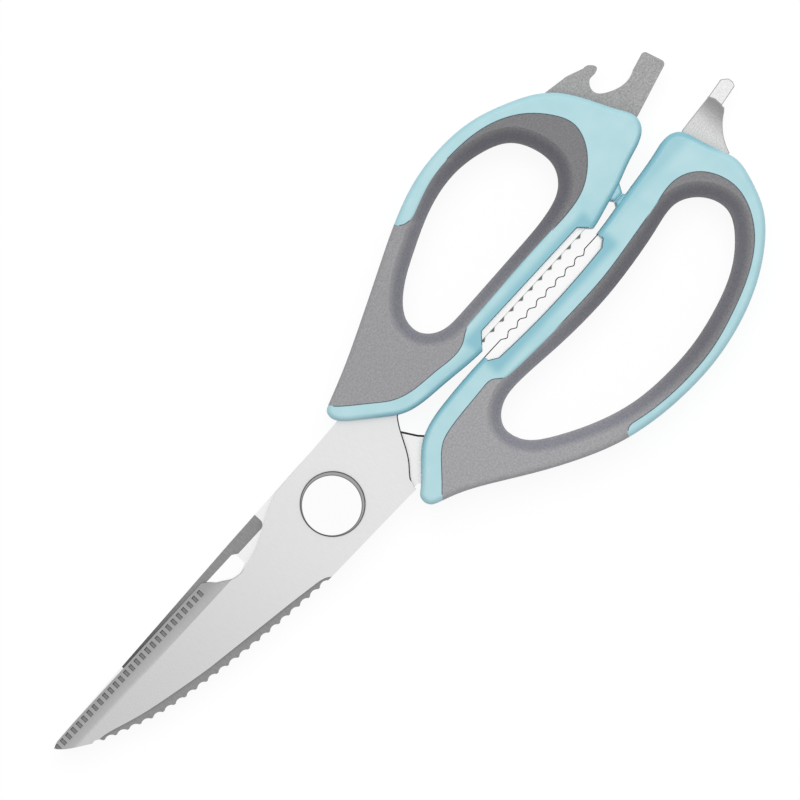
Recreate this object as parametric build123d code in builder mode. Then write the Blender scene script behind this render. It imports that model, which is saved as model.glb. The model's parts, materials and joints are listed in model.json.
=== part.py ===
from build123d import *
import os

# Kitchen shears lying on their back, closed. X runs from the pivot to the blade tips, Y towards
# the big finger loop, Z up. The origin is on the pivot axis, on the surface the shears lie on.
# The front half is the upper blade with the small loop. The rear half is the lower blade with
# the big loop.

os.makedirs("parts", exist_ok=True)

# Driving dimensions of the handles
handle_reach = 125.0
big_loop_width = 46.0
small_loop_width = 40.0
handle_thickness = 13.0
handle_edge_radius = 2.3
loop_bevel_width = 3.6
loop_bevel_depth = 2.8
grip_wall = 1.8
grip_skin = 2.2

# Driving dimensions of the blades
blade_reach = 92.0
blade_half_width = 12.5
blade_thickness = 2.5

# Pivot
shank_diameter = 6.0
thread_diameter = 5.0
pivot_clearance = 0.05
head_diameter = 16.4
head_rim_height = 0.7
head_rim_bevel = 0.7
head_height = 2.6
key_flat_width = 5.0
washer_diameter = 12.5
washer_thickness = 0.8
nut_diameter = 11.0
nut_edge_bevel = 0.5

# Working plates held by the handles
jaw_thickness = 3.0
end_plate_thickness = 2.5
driver_tip_thickness = 1.0
anchor_hole_radius = 1.6
opener_corner_radius = 1.1

# Stop pads behind the jaws
stop_line = 0.6
stop_gap = 0.12
stop_face_length = 2.7
stop_root_length = 6.2
stop_root_depth = 3.0
stop_height = 10.4

# Jaw teeth of the front half, and the gullets between the teeth of the rear half
jaw_tooth_pitch = 3.5
jaw_tooth_width = 2.0
jaw_tooth_height = 0.75
jaw_gullet_width = 2.6
jaw_gullet_depth = 0.9

# Scaler teeth on the spine of the front blade, counted from the tip
scaler_pitch = 3.29
scaler_first = 1.2
scaler_gullet_radius = 1.9
scaler_gullet_depth = 0.62
scaler_step = 0.9

# Cutting edges, with fine grooves that end before the edge itself
cutting_bevel_width = 4.9
cutting_land = 0.3
serration_pitch = 1.93
serration_radius = 0.55
serration_depth = 0.3
serration_start = 2.6
serration_end = 0.7
strip_depth = 0.35
strip_corner_radius = 1.6
hollow_depth = 0.25

# Spanner holes in the pivot nut
nut_hole_radius = 0.8
nut_hole_circle = 7.2
nut_hole_depth = 1.2

# One cutting overrun serves every cut that has to break out of a surface
overrun = 2.0

# Counts of points along an outline, for growing it and for finding its tightest turn
outline_steps = 60
turn_steps = 600

# Heights: the blades meet in the middle of the handle thickness
middle_z = handle_thickness / 2
web_half = middle_z - grip_skin

# The rounded rims stay a little under the tightest turn of their outline
rim_turn_share = 0.9


def placed(shares, size_x, size_y):
    return [(share_x * size_x, share_y * size_y) for share_x, share_y in shares]


# Small handle, as shares of handle_reach and small_loop_width
small_outline_shares = [
    (-0.125, -0.402), (-0.125, -0.351), (-0.135, -0.303), (-0.159, -0.233), (-0.199, -0.125),
    (-0.226, -0.062), (-0.264, -0.020), (-0.320, 0.003), (-0.400, 0.035), (-0.480, 0.046), (-0.600, 0.047),
    (-0.720, 0.040), (-0.768, 0.023), (-0.800, -0.001), (-0.848, -0.037), (-0.904, -0.094),
    (-0.944, -0.130), (-0.966, -0.178), (-0.974, -0.245), (-0.962, -0.350), (-0.936, -0.525),
    (-0.908, -0.683), (-0.874, -0.792), (-0.822, -0.887), (-0.752, -0.973), (-0.664, -1.008),
    (-0.584, -0.986), (-0.504, -0.912), (-0.400, -0.773), (-0.280, -0.607), (-0.230, -0.541),
    (-0.180, -0.482), (-0.140, -0.438),
]
small_loop_shares = [
    (-0.365, -0.388), (-0.374, -0.295), (-0.400, -0.235), (-0.448, -0.217), (-0.544, -0.223),
    (-0.640, -0.230), (-0.720, -0.250), (-0.768, -0.305), (-0.794, -0.420), (-0.793, -0.563),
    (-0.769, -0.712), (-0.718, -0.800), (-0.648, -0.838), (-0.568, -0.803), (-0.480, -0.696),
    (-0.400, -0.558), (-0.372, -0.463),
]
small_grip_shares = [
    (-0.131, -0.488), (-0.141, -0.425), (-0.160, -0.360), (-0.200, -0.250), (-0.232, -0.168),
    (-0.272, -0.118), (-0.336, -0.090), (-0.392, -0.073), (-0.412, -0.090), (-0.432, -0.125),
    (-0.464, -0.138), (-0.560, -0.148), (-0.680, -0.154), (-0.752, -0.158), (-0.792, -0.183),
    (-0.840, -0.275), (-0.869, -0.388), (-0.878, -0.500), (-0.862, -0.633), (-0.824, -0.773),
    (-0.760, -0.883), (-0.680, -0.925), (-0.600, -0.910), (-0.544, -0.858), (-0.516, -0.840),
    (-0.498, -0.860), (-0.490, -0.905), (-0.490, -1.000),
]
small_grip_closing_shares = [(-0.490, -1.000), (-0.131, -0.750), (-0.131, -0.488)]

# Big handle, as shares of handle_reach and big_loop_width
big_outline_shares = [
    (-0.127, 0.337), (-0.131, 0.388), (-0.154, 0.423), (-0.190, 0.466), (-0.250, 0.564), (-0.320, 0.690),
    (-0.400, 0.817), (-0.480, 0.915), (-0.560, 0.971), (-0.640, 0.996), (-0.720, 0.995),
    (-0.800, 0.961), (-0.880, 0.890), (-0.957, 0.771), (-1.009, 0.633), (-1.038, 0.463),
    (-1.047, 0.337), (-1.040, 0.257), (-1.029, 0.163), (-1.020, 0.072), (-1.010, 0.013),
    (-0.990, -0.017), (-0.952, -0.009), (-0.896, 0.013), (-0.832, 0.033), (-0.776, 0.052),
    (-0.704, 0.065), (-0.600, 0.067), (-0.480, 0.066), (-0.384, 0.063), (-0.304, 0.072),
    (-0.248, 0.092), (-0.216, 0.124), (-0.176, 0.209), (-0.138, 0.300),
]
big_loop_shares = [
    (-0.342, 0.435), (-0.354, 0.530), (-0.400, 0.637), (-0.480, 0.754), (-0.560, 0.827),
    (-0.640, 0.853), (-0.720, 0.849), (-0.800, 0.809), (-0.880, 0.731), (-0.934, 0.625),
    (-0.965, 0.488), (-0.959, 0.392), (-0.938, 0.313), (-0.904, 0.263), (-0.840, 0.276),
    (-0.760, 0.309), (-0.680, 0.328), (-0.600, 0.328), (-0.520, 0.313), (-0.432, 0.291),
    (-0.384, 0.302), (-0.352, 0.357),
]
big_grip_shares = [
    (-0.138, 0.467), (-0.154, 0.420), (-0.176, 0.365), (-0.208, 0.280), (-0.240, 0.213),
    (-0.272, 0.191), (-0.320, 0.180), (-0.372, 0.172), (-0.396, 0.178), (-0.412, 0.213),
    (-0.436, 0.230), (-0.496, 0.241), (-0.600, 0.248), (-0.704, 0.243), (-0.800, 0.213),
    (-0.880, 0.183), (-0.928, 0.172), (-0.968, 0.215), (-0.997, 0.322), (-1.005, 0.435),
    (-0.992, 0.565), (-0.960, 0.685), (-0.896, 0.802), (-0.816, 0.883), (-0.736, 0.933),
    (-0.656, 0.943), (-0.584, 0.926), (-0.532, 0.896), (-0.510, 0.891), (-0.499, 0.917),
    (-0.499, 0.957), (-0.499, 1.039),
]
big_grip_closing_shares = [(-0.499, 1.039), (-0.128, 0.870), (-0.138, 0.467)]

# Blade edges forward of the bolsters, as shares of blade_reach and blade_half_width
front_edge_shares = [(0.398, -0.848), (0.913, -0.840), (0.978, -0.824), (0.998, -0.776)]
front_point_shares = [(0.998, -0.776), (0.989, -0.688), (0.978, -0.608), (0.957, -0.488), (0.915, -0.276)]
front_spine_shares = [
    (0.915, -0.276), (0.880, -0.132), (0.830, 0.028), (0.780, 0.184), (0.700, 0.372),
    (0.600, 0.528), (0.500, 0.662), (0.350, 0.818), (0.250, 0.900), (0.155, 0.966),
]
scaler_line_shares = [
    (0.912, -0.240), (0.870, -0.208), (0.826, -0.100), (0.761, 0.056), (0.652, 0.252), (0.543, 0.420),
    (0.435, 0.540), (0.326, 0.664), (0.272, 0.724), (0.196, 0.820), (0.155, 0.910), (0.140, 1.020),
]
notch_shares = [
    (0.398, -0.848), (0.391, -0.808), (0.380, -0.732), (0.370, -0.640), (0.359, -0.588), (0.337, -0.470),
    (0.304, -0.416), (0.272, -0.440), (0.217, -0.552), (0.168, -0.736), (0.109, -0.920), (0.080, -0.984),
]
bevel_start_share = 0.272
rear_spine_shares = [(0.000, -1.020), (0.272, -0.982), (0.500, -0.938), (0.990, -0.826)]
rear_edge_shares = [(0.990, -0.800), (0.152, 0.720)]
rear_choil_shares = [(0.152, 0.720), (0.110, 0.880), (0.060, 0.976)]
rear_strip_shares = [
    (0.165, -1.200), (0.165, -0.712), (0.272, -0.712), (0.288, -0.792), (0.711, -0.792), (0.711, -1.200),
]
serration_first_share = 0.421
rear_hollow_shares = [
    (0.278, -0.792), (0.279, -0.496), (0.309, -0.400), (0.600, -0.360), (0.711, -0.560), (0.711, -0.792),
]

# Blade edges at the bolsters and the tangs inside the handles, in the shares of their own handle
front_heel_shares = [(-0.104, 0.316), (-0.134, 0.320)]
front_cheek_shares = [
    (-0.134, 0.320), (-0.140, 0.260), (-0.162, 0.183), (-0.182, 0.095), (-0.200, -0.003), (-0.216, -0.072),
]
front_tang_shares = [
    (-0.216, -0.072), (-0.240, -0.105), (-0.304, -0.125), (-0.330, -0.190), (-0.330, -0.440),
    (-0.300, -0.520), (-0.180, -0.400), (-0.124, -0.328),
]
rear_cheek_shares = [
    (-0.112, -0.278), (-0.140, -0.190), (-0.168, -0.100), (-0.193, -0.020), (-0.202, 0.020), (-0.216, 0.085),
]
rear_tang_shares = [
    (-0.216, 0.085), (-0.236, 0.150), (-0.290, 0.200), (-0.308, 0.260), (-0.308, 0.480),
    (-0.280, 0.530), (-0.180, 0.400), (-0.145, 0.262), (-0.104, 0.268),
]
front_anchor_shares = [(-0.210, -0.290), (-0.285, -0.330)]
rear_anchor_shares = [(-0.200, 0.300), (-0.265, 0.370)]

# Jaws and end tools, as shares of handle_reach and of the loop width of their own handle
small_pocket_shares = [(-0.414, 0.075), (-0.453, -0.048), (-0.732, -0.048), (-0.768, 0.075)]
big_pocket_side_shares = [
    (-0.736, 0.128), (-0.751, 0.100), (-0.753, 0.022), (-0.418, 0.022), (-0.420, 0.091), (-0.438, 0.123),
]
big_pocket_arch_share = (-0.592, 0.142)
front_jaw_shares = [(-0.430, -0.005), (-0.430, -0.115), (-0.758, -0.115), (-0.758, -0.005)]
rear_jaw_shares = [(-0.414, 0.063), (-0.414, 0.200), (-0.757, 0.200), (-0.757, 0.063)]
front_jaw_first_share = -0.442
rear_jaw_first_share = -0.478
stop_place_share = -0.833
opener_back_shares = [(-0.977, -0.240), (-1.096, -0.340), (-1.082, -0.492), (-1.040, -0.458)]
opener_mouth_shares = [
    (-1.040, -0.458), (-1.016, -0.438), (-0.980, -0.468), (-0.955, -0.555), (-0.970, -0.617),
    (-0.984, -0.617), (-0.995, -0.636), (-0.992, -0.664), (-0.976, -0.690),
]
opener_root_shares = [
    (-0.976, -0.690), (-0.940, -0.735), (-0.866, -0.776), (-0.870, -0.700), (-0.912, -0.500),
    (-0.935, -0.320), (-0.977, -0.240),
]
driver_outline_shares = [
    (-1.049, 0.292), (-1.012, 0.250), (-0.972, 0.141), (-0.960, 0.065), (-1.020, 0.018),
    (-1.102, 0.000), (-1.108, 0.034), (-1.108, 0.104), (-1.102, 0.118),
]
driver_hollow_shares = [(-1.102, 0.118), (-1.078, 0.166), (-1.062, 0.218), (-1.049, 0.292)]
driver_tip_shares = [
    (-1.095, 0.003), (-1.145, -0.015), (-1.157, 0.014), (-1.158, 0.042), (-1.154, 0.066), (-1.095, 0.090),
]


def outline_face(shares, width, growth=0):
    """A closed smooth outline, grown outwards or drawn in all round. Its points run anticlockwise."""
    ring = Spline(*placed(shares, handle_reach, width), periodic=True)
    points = []
    for step in range(outline_steps):
        heading = ring % (step / outline_steps)
        points.append(ring @ (step / outline_steps) + Vector(heading.Y, -heading.X) * growth)
    with BuildSketch() as face:
        with BuildLine():
            if growth:
                Spline(*points, periodic=True)
            else:
                add(ring)
        make_face()
    return face.sketch


def rim_limit(shares, width):
    """The largest radius for the rounded rim of a closed outline that runs anticlockwise."""
    ring = Spline(*placed(shares, handle_reach, width), periodic=True)
    turns = []
    for step in range(turn_steps):
        before = ring % (step / turn_steps)
        after = ring % ((step + 1) / turn_steps)
        turns.append(before.X * after.Y - before.Y * after.X)
    return rim_turn_share * ring.length / turn_steps / max(turns)


def grip_face(border_shares, closing_shares, width):
    with BuildSketch() as face:
        with BuildLine():
            Spline(*placed(border_shares, handle_reach, width))
            Polyline(*placed(closing_shares, handle_reach, width))
        make_face()
    return face.sketch


def handle_form(outline, loop, edge_radius):
    """The whole handle, hard and soft parts together, with bevelled loop rims and rounded outer rims."""
    with BuildPart() as form:
        with BuildSketch():
            add(outline)
            add(loop, mode=Mode.SUBTRACT)
        extrude(amount=handle_thickness)
        rims = form.edges().filter_by(GeomType.BSPLINE).sort_by(SortBy.LENGTH)
        chamfer(rims[:2], length=loop_bevel_depth, length2=loop_bevel_width)
        rims = form.edges().filter_by(GeomType.BSPLINE).sort_by(SortBy.LENGTH)
        fillet(rims[-2:], radius=edge_radius)
    return form.part


def handle_web(inner_outline, window, grip):
    """The thin middle of the hard core that the soft grip is moulded around."""
    with BuildPart() as web:
        with BuildSketch(Plane.XY.offset(middle_z - web_half)):
            add(inner_outline)
            add(window, mode=Mode.SUBTRACT)
            add(grip, mode=Mode.INTERSECT)
        extrude(amount=2 * web_half)
    return web.part


small_outline = outline_face(small_outline_shares, small_loop_width)
small_loop = outline_face(small_loop_shares, small_loop_width)
small_grip = grip_face(small_grip_shares, small_grip_closing_shares, small_loop_width)
small_edge_radius = min(handle_edge_radius, rim_limit(small_outline_shares, small_loop_width))
small_form = handle_form(small_outline, small_loop, small_edge_radius)
small_web = handle_web(
    outline_face(small_outline_shares, small_loop_width, -grip_wall),
    outline_face(small_loop_shares, small_loop_width, grip_wall),
    small_grip,
)

big_outline = outline_face(big_outline_shares, big_loop_width)
big_loop = outline_face(big_loop_shares, big_loop_width)
big_grip = grip_face(big_grip_shares, big_grip_closing_shares, big_loop_width)
big_edge_radius = min(handle_edge_radius, rim_limit(big_outline_shares, big_loop_width))
big_form = handle_form(big_outline, big_loop, big_edge_radius)
big_web = handle_web(
    outline_face(big_outline_shares, big_loop_width, -grip_wall),
    outline_face(big_loop_shares, big_loop_width, grip_wall),
    big_grip,
)

# Plain plate of the front blade with its tang
front_edge = placed(front_edge_shares, blade_reach, blade_half_width)
front_point = placed(front_point_shares, blade_reach, blade_half_width)
front_spine = placed(front_spine_shares, blade_reach, blade_half_width)
notch = placed(notch_shares, blade_reach, blade_half_width)
front_heel = placed(front_heel_shares, handle_reach, small_loop_width)
front_cheek = placed(front_cheek_shares, handle_reach, small_loop_width)
front_tang = placed(front_tang_shares, handle_reach, small_loop_width)

with BuildPart() as front_plate:
    with BuildSketch(Plane.XY.offset(middle_z)):
        with BuildLine():
            Polyline(*front_edge)
            Spline(*front_point)
            Spline(*front_spine)
            Line(front_spine[-1], front_heel[0])
            Polyline(*front_heel)
            Spline(*front_cheek)
            Polyline(*front_tang)
            Line(front_tang[-1], notch[-1])
            Spline(*notch)
        make_face()
        with Locations(*placed(front_anchor_shares, handle_reach, small_loop_width)):
            Circle(anchor_hole_radius, mode=Mode.SUBTRACT)
    extrude(amount=blade_thickness)

# Plain plate of the rear blade with its tang
rear_spine = placed(rear_spine_shares, blade_reach, blade_half_width)
rear_edge = placed(rear_edge_shares, blade_reach, blade_half_width)
rear_choil = placed(rear_choil_shares, blade_reach, blade_half_width)
rear_strip = placed(rear_strip_shares, blade_reach, blade_half_width)
rear_cheek = placed(rear_cheek_shares, handle_reach, big_loop_width)
rear_tang = placed(rear_tang_shares, handle_reach, big_loop_width)

with BuildPart() as rear_plate:
    with BuildSketch(Plane.XY.offset(middle_z - blade_thickness)):
        with BuildLine():
            Polyline(*rear_spine)
            Line(rear_spine[-1], rear_edge[0])
            Polyline(*rear_edge)
            Spline(*rear_choil)
            Line(rear_choil[-1], rear_tang[-1])
            Polyline(*rear_tang)
            Spline(*rear_cheek)
            Line(rear_cheek[0], rear_spine[0])
        make_face()
        with Locations(*placed(rear_anchor_shares, handle_reach, big_loop_width)):
            Circle(anchor_hole_radius, mode=Mode.SUBTRACT)
    extrude(amount=blade_thickness)

# Front blade: scalloped spine with its thinner scaler band, notch, bevelled and grooved edge
top_z = middle_z + blade_thickness
edge_y = front_edge[0][1]
bevel_top_y = edge_y + cutting_bevel_width
blade_end = front_edge[-1][0]
bevel_rise = Vector(0, cutting_bevel_width, blade_thickness - cutting_land).normalized()
bevel_outward = Vector(0, -bevel_rise.Z, bevel_rise.Y)
serration_first = serration_first_share * blade_reach
serration_origin = Vector(serration_first, edge_y, middle_z + cutting_land)
serration_origin += bevel_rise * serration_start + bevel_outward * (serration_radius - serration_depth)
serrations = int((blade_end - serration_radius - serration_first) / serration_pitch) + 1

scaler_line = Spline(*placed(scaler_line_shares, blade_reach, blade_half_width))
spine_line = Spline(*front_spine)
scaler_teeth = int((spine_line.length - 2 * scaler_first) / scaler_pitch) + 1
gullets = []
for tooth in range(scaler_teeth):
    along = (scaler_first + tooth * scaler_pitch) / spine_line.length
    heading = spine_line % along
    outward = Vector(heading.Y, -heading.X)
    gullets.append(spine_line @ along + outward * (scaler_gullet_radius - scaler_gullet_depth))

with BuildPart() as front_blade:
    add(front_plate.part)
    with BuildSketch(Plane.XY.offset(top_z - scaler_step)):
        with BuildLine():
            Spline(*placed(scaler_line_shares, blade_reach, blade_half_width))
            Line(scaler_line @ 1, Vector(blade_end, blade_half_width + overrun))
            Line(Vector(blade_end, blade_half_width + overrun), scaler_line @ 0)
        make_face()
    extrude(amount=scaler_step + overrun, mode=Mode.SUBTRACT)
    with BuildSketch(Plane.XY.offset(middle_z - overrun)):
        with Locations(*gullets):
            Circle(scaler_gullet_radius)
    extrude(amount=blade_thickness + 2 * overrun, mode=Mode.SUBTRACT)
    with BuildSketch(Plane.YZ.offset(bevel_start_share * blade_reach)):
        with BuildLine():
            Polyline(
                (bevel_top_y, top_z),
                (edge_y, middle_z + cutting_land),
                (edge_y - overrun, middle_z + cutting_land),
                (edge_y - overrun, top_z + overrun),
                (bevel_top_y, top_z + overrun),
                close=True,
            )
        make_face()
    extrude(amount=blade_reach, mode=Mode.SUBTRACT)
    for groove in range(serrations):
        start = serration_origin + Vector(groove * serration_pitch, 0, 0)
        with Locations(Plane(origin=start, z_dir=-bevel_rise)):
            Cylinder(
                serration_radius,
                serration_start - serration_end,
                align=(Align.CENTER, Align.CENTER, Align.MIN),
                mode=Mode.SUBTRACT,
            )
    with Locations((0, 0, top_z)):
        Hole(shank_diameter / 2 + pivot_clearance)

# Rear blade: ground edge underneath, hollow and spine strip on the face that meets the front blade
lower_z = middle_z - blade_thickness
key_clear = key_flat_width / 2 + pivot_clearance
edge_run = Vector(*rear_edge[0]) - Vector(*rear_edge[1])
ground_plane = Plane(
    origin=Vector(*rear_edge[1]) + Vector(0, 0, lower_z),
    x_dir=Vector(-edge_run.Y, edge_run.X),
    z_dir=edge_run,
)

with BuildPart() as rear_blade:
    add(rear_plate.part)
    with BuildSketch(ground_plane):
        with BuildLine():
            Polyline(
                (-cutting_bevel_width, 0),
                (0, blade_thickness - cutting_land),
                (overrun, blade_thickness - cutting_land),
                (overrun, -overrun),
                (-cutting_bevel_width, -overrun),
                close=True,
            )
        make_face()
    extrude(amount=edge_run.length, mode=Mode.SUBTRACT)
    with BuildSketch(Plane.XY.offset(middle_z - strip_depth)) as strip:
        with BuildLine():
            Polyline(*rear_strip, close=True)
        make_face()
        fillet(strip.vertices().sort_by_distance(rear_strip[1])[0], radius=strip_corner_radius)
    extrude(amount=strip_depth + overrun, mode=Mode.SUBTRACT)
    with BuildSketch(Plane.XY.offset(middle_z - hollow_depth)):
        with BuildLine():
            Polyline(*placed(rear_hollow_shares, blade_reach, blade_half_width), close=True)
        make_face()
    extrude(amount=hollow_depth + overrun, mode=Mode.SUBTRACT)
    with BuildSketch(Plane.XY.offset(lower_z - overrun)):
        Circle(shank_diameter / 2 + pivot_clearance)
        Rectangle(shank_diameter + overrun, 2 * key_clear, mode=Mode.INTERSECT)
    extrude(amount=blade_thickness + 2 * overrun, mode=Mode.SUBTRACT)

# Pivot bolt: domed head over the front blade, flats that lock it in the rear blade, thread end
head_radius = head_diameter / 2
washer_z = lower_z - washer_thickness

with BuildPart() as pivot_bolt:
    with BuildSketch(Plane.XZ):
        with BuildLine():
            TangentArc(
                (0, top_z + head_height),
                (head_radius - head_rim_bevel, top_z + head_rim_height + head_rim_bevel),
                tangent=(1, 0),
            )
            Polyline(
                (head_radius - head_rim_bevel, top_z + head_rim_height + head_rim_bevel),
                (head_radius, top_z + head_rim_height),
                (head_radius, top_z),
                (0, top_z),
                (0, top_z + head_height),
            )
        make_face()
    revolve(axis=Axis.Z)
    with BuildSketch(Plane.XY.offset(middle_z)):
        Circle(shank_diameter / 2)
    extrude(amount=blade_thickness)
    with BuildSketch(Plane.XY.offset(lower_z)):
        Circle(shank_diameter / 2)
        Rectangle(shank_diameter + overrun, key_flat_width, mode=Mode.INTERSECT)
    extrude(amount=blade_thickness)
    with BuildSketch():
        Circle(thread_diameter / 2)
    extrude(amount=lower_z)

with BuildPart() as pivot_washer:
    with BuildSketch(Plane.XY.offset(washer_z)):
        Circle(washer_diameter / 2)
        Circle(thread_diameter / 2 + pivot_clearance, mode=Mode.SUBTRACT)
    extrude(amount=washer_thickness)

with BuildPart() as pivot_nut:
    with BuildSketch():
        Circle(nut_diameter / 2)
        Circle(thread_diameter / 2 + pivot_clearance, mode=Mode.SUBTRACT)
        with PolarLocations(nut_hole_circle / 2, 2):
            Circle(nut_hole_radius, mode=Mode.SUBTRACT)
    extrude(amount=nut_hole_depth)
    with BuildSketch(Plane.XY.offset(nut_hole_depth)):
        Circle(nut_diameter / 2)
        Circle(thread_diameter / 2 + pivot_clearance, mode=Mode.SUBTRACT)
    extrude(amount=washer_z - nut_hole_depth)
    corner = pivot_nut.edges().filter_by(GeomType.CIRCLE).group_by(Axis.Z)[0].sort_by(SortBy.RADIUS)[-1]
    chamfer(corner, length=nut_edge_bevel)

# Nutcracker jaws: toothed steel plates let into the facing edges of the handles
front_jaw_corners = placed(front_jaw_shares, handle_reach, small_loop_width)
front_jaw_first = front_jaw_first_share * handle_reach
front_jaw_teeth = int((front_jaw_first - front_jaw_corners[2][0]) / jaw_tooth_pitch)

with BuildPart() as front_jaw:
    with BuildSketch(Plane.XY.offset(middle_z - jaw_thickness / 2)):
        with BuildLine():
            Polyline(*front_jaw_corners, close=True)
        make_face()
        for tooth in range(front_jaw_teeth):
            tooth_x = front_jaw_first - tooth * jaw_tooth_pitch
            tooth_y = front_jaw_corners[0][1]
            with BuildLine():
                Polyline(
                    (tooth_x - jaw_tooth_width / 2, tooth_y),
                    (tooth_x + jaw_tooth_width / 2, tooth_y),
                    (tooth_x, tooth_y + jaw_tooth_height),
                    close=True,
                )
            make_face()
    extrude(amount=jaw_thickness)

rear_jaw_corners = placed(rear_jaw_shares, handle_reach, big_loop_width)
rear_jaw_first = rear_jaw_first_share * handle_reach
rear_jaw_teeth = int((rear_jaw_first - rear_jaw_corners[2][0]) / jaw_tooth_pitch)

with BuildPart() as rear_jaw:
    with BuildSketch(Plane.XY.offset(middle_z - jaw_thickness / 2)):
        with BuildLine():
            Polyline(*rear_jaw_corners, close=True)
        make_face()
        for tooth in range(rear_jaw_teeth):
            tooth_x = rear_jaw_first - tooth * jaw_tooth_pitch
            tooth_y = rear_jaw_corners[0][1]
            with BuildLine():
                Polyline(
                    (tooth_x - jaw_gullet_width / 2, tooth_y),
                    (tooth_x, tooth_y + jaw_gullet_depth),
                    (tooth_x + jaw_gullet_width / 2, tooth_y),
                    close=True,
                )
            make_face(mode=Mode.SUBTRACT)
    extrude(amount=jaw_thickness)

# End tools: bottle opener in the small handle, flat screwdriver in the big handle
with BuildPart() as bottle_opener:
    with BuildSketch(Plane.XY.offset(middle_z - end_plate_thickness / 2)) as opener:
        with BuildLine():
            Polyline(*placed(opener_back_shares, handle_reach, small_loop_width))
            Spline(*placed(opener_mouth_shares, handle_reach, small_loop_width))
            Polyline(*placed(opener_root_shares, handle_reach, small_loop_width))
        make_face()
        fillet(opener.vertices().sort_by(Axis.X)[:2], radius=opener_corner_radius)
    extrude(amount=end_plate_thickness)

with BuildPart() as screwdriver_tip:
    with BuildSketch(Plane.XY.offset(middle_z - end_plate_thickness / 2)):
        with BuildLine():
            Polyline(*placed(driver_outline_shares, handle_reach, big_loop_width))
            Spline(*placed(driver_hollow_shares, handle_reach, big_loop_width))
        make_face()
    extrude(amount=end_plate_thickness)
    with BuildSketch(Plane.XY.offset(middle_z - driver_tip_thickness / 2)):
        with BuildLine():
            Polyline(*placed(driver_tip_shares, handle_reach, big_loop_width), close=True)
        make_face()
    extrude(amount=driver_tip_thickness)

# Hard handle cores, moulded around the tangs, jaws and end tools, with a pad each that stops them
stop_x = stop_place_share * handle_reach


def stop_pad(side):
    """A pad on one side of the stop line, 1 towards the big handle and -1 towards the small one."""
    face_y = stop_line + side * stop_gap / 2
    root_y = face_y + side * stop_root_depth
    with BuildPart() as pad:
        with BuildSketch(Plane.XY.offset(middle_z - stop_height / 2)):
            with BuildLine():
                Polyline(
                    (stop_x - stop_face_length / 2, face_y),
                    (stop_x + stop_face_length / 2, face_y),
                    (stop_x + stop_root_length / 2, root_y),
                    (stop_x - stop_root_length / 2, root_y),
                    close=True,
                )
            make_face()
        extrude(amount=stop_height)
    return pad.part


with BuildPart() as front_handle_core:
    add(small_form)
    with BuildSketch(Plane.XY.offset(-overrun)):
        add(small_grip)
        with BuildLine():
            Polyline(*placed(small_pocket_shares, handle_reach, small_loop_width), close=True)
        make_face()
    extrude(amount=handle_thickness + 2 * overrun, mode=Mode.SUBTRACT)
    add(small_web)
    add(stop_pad(-1))
    add(front_plate.part, mode=Mode.SUBTRACT)
    add(front_jaw.part, mode=Mode.SUBTRACT)
    add(bottle_opener.part, mode=Mode.SUBTRACT)

with BuildPart() as rear_handle_core:
    add(big_form)
    with BuildSketch(Plane.XY.offset(-overrun)):
        add(big_grip)
        with BuildLine():
            pocket_side = placed(big_pocket_side_shares, handle_reach, big_loop_width)
            Polyline(*pocket_side)
            ThreePointArc(
                pocket_side[-1],
                *placed([big_pocket_arch_share], handle_reach, big_loop_width),
                pocket_side[0],
            )
        make_face()
    extrude(amount=handle_thickness + 2 * overrun, mode=Mode.SUBTRACT)
    add(big_web)
    add(stop_pad(1))
    add(rear_plate.part, mode=Mode.SUBTRACT)
    add(rear_jaw.part, mode=Mode.SUBTRACT)
    add(screwdriver_tip.part, mode=Mode.SUBTRACT)

# Soft grips, moulded around the webs and lining the finger loops
with BuildPart() as front_soft_grip:
    add(small_form)
    with BuildSketch(Plane.XY.offset(-overrun)):
        add(small_grip)
    extrude(amount=handle_thickness + 2 * overrun, mode=Mode.INTERSECT)
    add(small_web, mode=Mode.SUBTRACT)

with BuildPart() as rear_soft_grip:
    add(big_form)
    with BuildSketch(Plane.XY.offset(-overrun)):
        add(big_grip)
    extrude(amount=handle_thickness + 2 * overrun, mode=Mode.INTERSECT)
    add(big_web, mode=Mode.SUBTRACT)

pieces = {
    "front_blade": front_blade,
    "rear_blade": rear_blade,
    "front_handle_core": front_handle_core,
    "rear_handle_core": rear_handle_core,
    "front_soft_grip": front_soft_grip,
    "rear_soft_grip": rear_soft_grip,
    "front_jaw": front_jaw,
    "rear_jaw": rear_jaw,
    "bottle_opener": bottle_opener,
    "screwdriver_tip": screwdriver_tip,
    "pivot_bolt": pivot_bolt,
    "pivot_washer": pivot_washer,
    "pivot_nut": pivot_nut,
}
for name, piece in pieces.items():
    piece.part.label = name
    export_step(piece.part, f"parts/{name}.step")
    print(name, len(piece.part.solids()), round(piece.part.volume))
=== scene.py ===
# %% [markdown]
# Kitchen shears in a studio picture: two steel blades, two handles of blue plastic and grey
# rubber, toothed jaws between the handles and two small tools at their ends. They could be
# modelled here from nothing, but the CAD model already has the true size and place of every
# part. So it is loaded first and stays untouched, and the cells below either give a CAD part a
# finish or model a better looking piece that stands in for it.

# %% Load the frame
import json
from math import atan2, cos, radians, sin

import bmesh
import bpy
from mathutils import Matrix, Vector

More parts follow.
